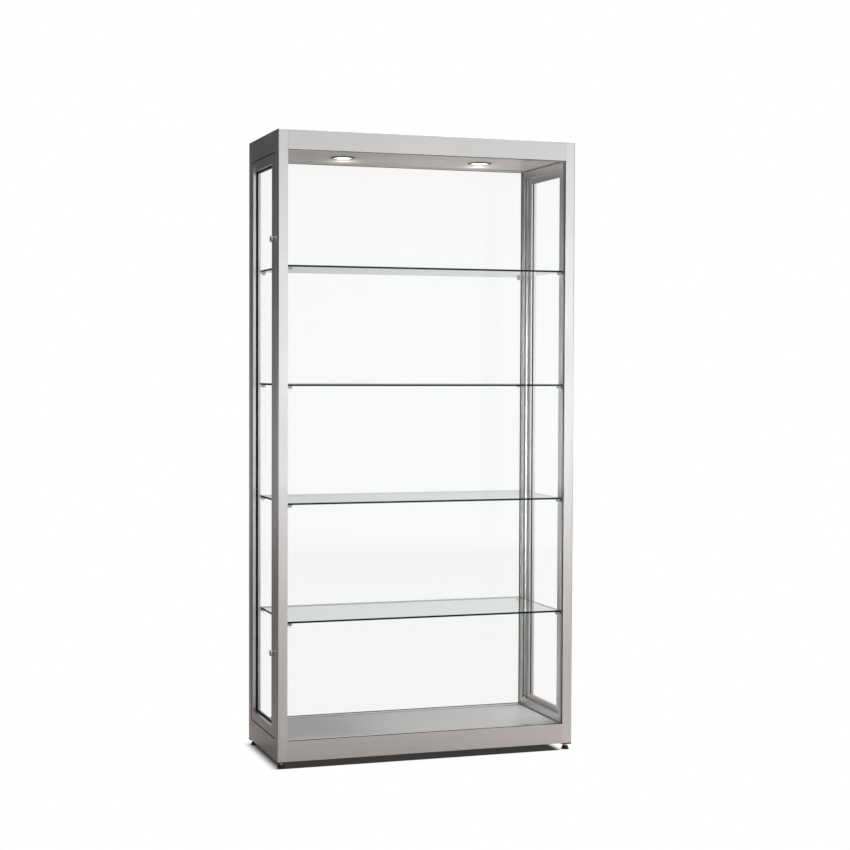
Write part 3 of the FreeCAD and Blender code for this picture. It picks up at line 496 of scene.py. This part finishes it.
def key_flaps():
    """The dark spring flap a little way down the keyway of each cam lock."""
    depth, half_width, half_height = 0.9 * MM, 0.65 * MM, 3.4 * MM
    for side, sign in DOOR_SIDES.items():
        for level in ("upper", "lower"):
            core = f"{side}_door_{level}_lock_core"
            low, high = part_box(core)
            outer = outer_x(core, sign)
            y, z = (low.y + high.y) / 2, low.z + (high.y - low.y) / 2
            xs = sorted((outer - sign * 2 * depth, outer - sign * depth))
            shape = bmesh.new()
            block(shape, (xs[0], y - half_width, z - half_height),
                  (xs[1], y + half_width, z + half_height), 0.1 * MM, segments=1)
            piece(f"{side}_{level}_key_flap", shape, f"{side}_{level}_lock",
                  FINISH["gasket_rubber"])


def clip_screws():
    """The socket screw that clamps each shelf clip in its slot, seen from below."""
    head, socket, depth, rise, chamfer = 2.6 * MM, 1.3 * MM, 0.9 * MM, 1.5 * MM, 0.4 * MM
    in_from_end, in_from_edge = 20 * MM, 5 * MM
    profile = ((chamfer, depth), (socket, depth), (socket, 0), (head - chamfer, 0),
               (head, chamfer), (head, rise))
    for number in range(1, SHELF_COUNT + 1):
        low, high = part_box(f"shelf_{number}_clips")
        reach_x, reach_y = high.x - in_from_end, high.y - in_from_edge
        shape = bmesh.new()
        for sx in (-1, 1):
            for sy in (-1, 1):
                turned(shape, profile, (sx * reach_x, sy * reach_y, low.z - rise), segments=24)
        piece(f"shelf_{number}_clip_screws", shape, f"shelf_{number}",
              FINISH["bright_steel"])


def dust_seals():
    """Rubber lips in the posts' grooves, which close the joint down the edges of each door."""
    groove_near, groove_far, play = 25 * MM, 29 * MM, 0.3 * MM
    root, lip, end_gap = 1.2 * MM, 1.1 * MM, 1 * MM
    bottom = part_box("base_rail_left")[1].z + end_gap
    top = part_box("top_rail_left")[0].z - end_gap
    shape = bmesh.new()
    for end, face_sign in (("front", 1), ("rear", -1)):
        for side, sign in DOOR_SIDES.items():
            low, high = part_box(f"post_{end}_{side}")
            outer = outer_x(f"post_{end}_{side}", sign)
            face = high.y if face_sign > 0 else low.y
            xs = sorted((outer - sign * (groove_near + play), outer - sign * (groove_far - play)))
            ys = sorted((face - face_sign * root, face + face_sign * lip))
            block(shape, (xs[0], ys[0], bottom), (xs[1], ys[1], top), 0.9 * MM)
    piece("dust_seals", shape, "cabinet", FINISH["gasket_rubber"])


def board_shadow_strips():
    """Dark strips along the joints between the boards and the side rails, standing in for the shadow in
    those joints: painted shadow lines.
    """
    thick, rise, play = 2 * MM, 3 * MM, 0.3 * MM
    floor_low, floor_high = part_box("floor_panel")
    ceiling_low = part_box("ceiling_panel")[0]
    shape = bmesh.new()
    for sign in DOOR_SIDES.values():
        xs = sorted((sign * floor_high.x, sign * (floor_high.x - thick)))
        for low_z in (floor_high.z, ceiling_low.z - rise):
            block(shape, (xs[0], floor_low.y + play, low_z),
                  (xs[1], floor_high.y - play, low_z + rise), 0.4 * MM)
    # painted shadow: the strips take the dark rubber finish
    piece("board_shadow_strips", shape, "cabinet", FINISH["gasket_rubber"])


def brush_seals():
    """Brush strips on the side rails, in the joints above and below each door."""
    joint, inset, width = 4 * MM, 8 * MM, 8 * MM
    brush = joint * 0.65
    shape = bmesh.new()
    for side, sign in DOOR_SIDES.items():
        leaf = f"{side}_door_lock_stile"
        leaf_low, leaf_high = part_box(leaf)
        outer = outer_x(leaf, sign)
        xs = sorted((outer - sign * inset, outer - sign * (inset + width)))
        ys = (leaf_low.y + 1 * MM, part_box(f"{side}_door_glass")[1].y - 4 * MM)
        above, below = leaf_high.z + joint, leaf_low.z - joint
        for z in ((above - brush, above), (below, below + brush)):
            block(shape, (xs[0], ys[0], z[0]), (xs[1], ys[1], z[1]), 0.3 * MM)
    piece("brush_seals", shape, "cabinet", FINISH["gasket_rubber"])


hinge_covers()
levelling_feet()
key_flaps()
clip_screws()
dust_seals()
board_shadow_strips()
brush_seals()


# ---------------------------------------------------------------- camera

def put(name, data, transform):
    """Puts a camera or a light into the scene."""
    obj = bpy.data.objects.new(name, data)
    bpy.context.scene.collection.objects.link(obj)
    obj.matrix_world = transform
    return obj


def look(location, yaw, pitch, roll, lens):
    """The camera. In degrees, yaw turns right from +Y, pitch tilts up and roll turns left."""
    data = bpy.data.cameras.new("camera")
    data.lens = lens
    data.sensor_width = 36
    data.clip_end = 200
    turn = Matrix.Identity(4)
    for degrees, axis in ((-yaw, "Z"), (90 + pitch, "X"), (roll, "Z")):
        turn = turn @ Matrix.Rotation(math.radians(degrees), 4, axis)
    bpy.context.scene.camera = put("camera", data, Matrix.Translation(location) @ turn)


look((-1.826, -5.623, 1.267), yaw=18.46, pitch=-1.895, roll=0.221, lens=75.69)


# ---------------------------------------------------------------- light

WORLD_BASE = 0.05
WORLD_SOFTBOXES = (  # direction, how much flatter than wide, cosine at edge and at core, strength
    ((0.53, -0.85, -0.05), 4.1, 0.46, 1.0, 1.92),
    ((0.75, 0.62, 0.15), 1.0, 0.55, 0.90, 0.72),
    ((-0.80, 0.60, -0.08), 3.6, 0.74, 0.95, 0.90),
    ((0.10, -0.10, 1.0), 1.0, 0.30, 0.95, 0.80),
)
PAINTED_SHADOW_EDGES = (  # painted shadow under the case: axis, where the floor is clear of it and where it is fully covered
    ("X", -0.525, -0.480), ("X", 0.478, 0.445), ("Y", -0.2035, -0.1965), ("Y", 0.24, 0.17),
)
PAINTED_SHADOW_DEPTH = 0.958  # the share of white that the painted shadow takes from the floor where it is fully covered
DIM_FLOOR, BRIGHT_FLOOR = (0.17, 0.157, 0.15), (0.455, 0.413, 0.393)


def studio_world():
    """White to the eye. The light it sheds comes from softboxes around and above the case."""
    world = bpy.data.worlds.new("studio")
    world.use_nodes = True
    bpy.context.scene.world = world
    tree = world.node_tree
    tree.nodes.clear()
    direction = add(tree, "TexCoord").outputs["Generated"]
    level = WORLD_BASE
    for way, flat, edge, core, strength in WORLD_SOFTBOXES:
        towards = Vector((way[0], way[1], way[2] * flat)).normalized()
        ray = direction
        for values, operation in (({1: (1, 1, flat)}, "MULTIPLY"), ({}, "NORMALIZE")):
            node = add(tree, "VectorMath", {0: ray, **values}, operation=operation)
            ray = node.outputs["Vector"]
        dot = add(tree, "VectorMath", {0: ray, 1: towards}, operation="DOT_PRODUCT")
        glow = eased(tree, dot.outputs["Value"], edge, core, strength)
        level = maths(tree, "ADD", level, glow)
    shed, seen = (
        add(tree, "Background", {"Color": WHITE, "Strength": strength}).outputs["Background"]
        for strength in (level, 1.0)
    )
    camera_ray = add(tree, "LightPath").outputs["Is Camera Ray"]
    add(tree, "OutputWorld", {"Surface": mixed(tree, camera_ray, shed, seen)})


def studio_floor():
    """A plain white floor that runs out into the white of the background.

    It has a shadow painted under the case, and shade painted where a foot touches it. The colour that
    it bounces light with is painted darker to the left of the case, and from below it can't be seen.
    """
    shape = bmesh.new()
    bmesh.ops.create_circle(shape, cap_ends=True, segments=96, radius=7)
    mesh = bpy.data.meshes.new("floor")
    shape.to_mesh(mesh)
    shape.free()
    floor = bpy.data.objects.new("floor", mesh)
    bpy.context.scene.collection.objects.link(floor)
    material, tree = new_tree("floor_white")
    place = add(tree, "TexCoord").outputs["Object"]
    away = add(tree, "VectorMath", {0: place}, operation="LENGTH").outputs["Value"]
    far = ranged(tree, away, 0, 1, 0.62, 1.15)
    spot = add(tree, "SeparateXYZ", {"Vector": place}).outputs
    # painted shadow: the floor's white is darkened over the footprint of the case, with soft edges
    under = 1.0
    for axis, clear, covered in PAINTED_SHADOW_EDGES:
        under = maths(tree, "MULTIPLY", under, eased(tree, spot[axis], clear, covered))
    # painted contact shade: ambient occlusion darkens the floor's white near the feet and the case's
    # lower edges
    open_sky = add(tree, "AmbientOcclusion", {"Distance": 12 * MM}, samples=8).outputs["AO"]
    painted_contact_shade = ranged(tree, open_sky, 0.05, 1.0, 0.55, 0.85)
    lit = maths(tree, "SUBTRACT", 1.0, maths(tree, "MULTIPLY", under, PAINTED_SHADOW_DEPTH))
    near = glowing(tree, maths(tree, "MULTIPLY", lit, painted_contact_shade))
    seen = mixed(tree, far, near, glowing(tree, 1.0))
    # painted shade in the bounce: the floor's colour is darker to the left of the case
    beside = ranged(tree, spot["X"], 0.0, 1.0, -0.80, -0.45)
    bounce = blended(tree, beside, DIM_FLOOR, BRIGHT_FLOOR)
    shed = add(tree, "BsdfDiffuse", {"Color": bounce}).outputs["BSDF"]
    camera_ray = add(tree, "LightPath").outputs["Is Camera Ray"]
    from_below = add(tree, "NewGeometry").outputs["Backfacing"]
    nothing = add(tree, "BsdfTransparent").outputs["BSDF"]
    finished(tree, mixed(tree, from_below, mixed(tree, camera_ray, shed, seen), nothing))
    mesh.materials.append(material)


def area_light(name, place, target, width, height, power, colour=(1, 1, 1), spread=180):
    """A softbox that faces a target, with its light held within a spread in degrees."""
    data = bpy.data.lights.new(name, "AREA")
    data.shape = "RECTANGLE"
    data.size, data.size_y = width, height
    data.energy = power
    data.color = colour
    data.spread = math.radians(spread)
    place = Vector(place)
    turn = (Vector(target) - place).to_track_quat("-Z", "Y").to_matrix().to_4x4()
    put(name, data, Matrix.Translation(place) @ turn).visible_camera = False


def downlights():
    """The beam that each downlight throws into the case, and its spill on the board behind it."""
    low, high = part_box("downlight_lenses")
    middle_y = (low.y + high.y) / 2
    lamp_x = high.x - (high.y - low.y) / 2
    for side in DOOR_SIDES.values():
        beam = bpy.data.lights.new("downlight_beam", "SPOT")
        beam.energy = 8
        beam.color = (1, 0.93, 0.84)
        beam.spot_size = math.radians(120)
        beam.spot_blend = 0.8
        beam.shadow_soft_size = 20 * MM
        put("downlight_beam", beam, Matrix.Translation((side * lamp_x, middle_y, low.z - 3 * MM)))
        spill = bpy.data.lights.new("downlight_glow", "POINT")
        spill.energy = 0.12
        spill.color = (1, 0.97, 0.93)
        spill.shadow_soft_size = 12 * MM
        spot = (side * lamp_x + 28 * MM, middle_y + 95 * MM, low.z - 28 * MM)
        glow = put("downlight_glow", spill, Matrix.Translation(spot))
        glow.visible_camera = False
        glow.visible_glossy = False


bpy.context.scene.view_settings.view_transform = "Standard"
studio_world()
studio_floor()
downlights()
area_light("side_key", place=(1.5, -0.2, 4.4), target=(0, 0, 0), width=2.4, height=2.4, power=190)
area_light("case_fill", place=(-0.44, 0, 0.98), target=(0.5, 0, 0.98), width=0.28, height=1.5,
           power=9.0, colour=(1, 0.99, 0.98), spread=85)
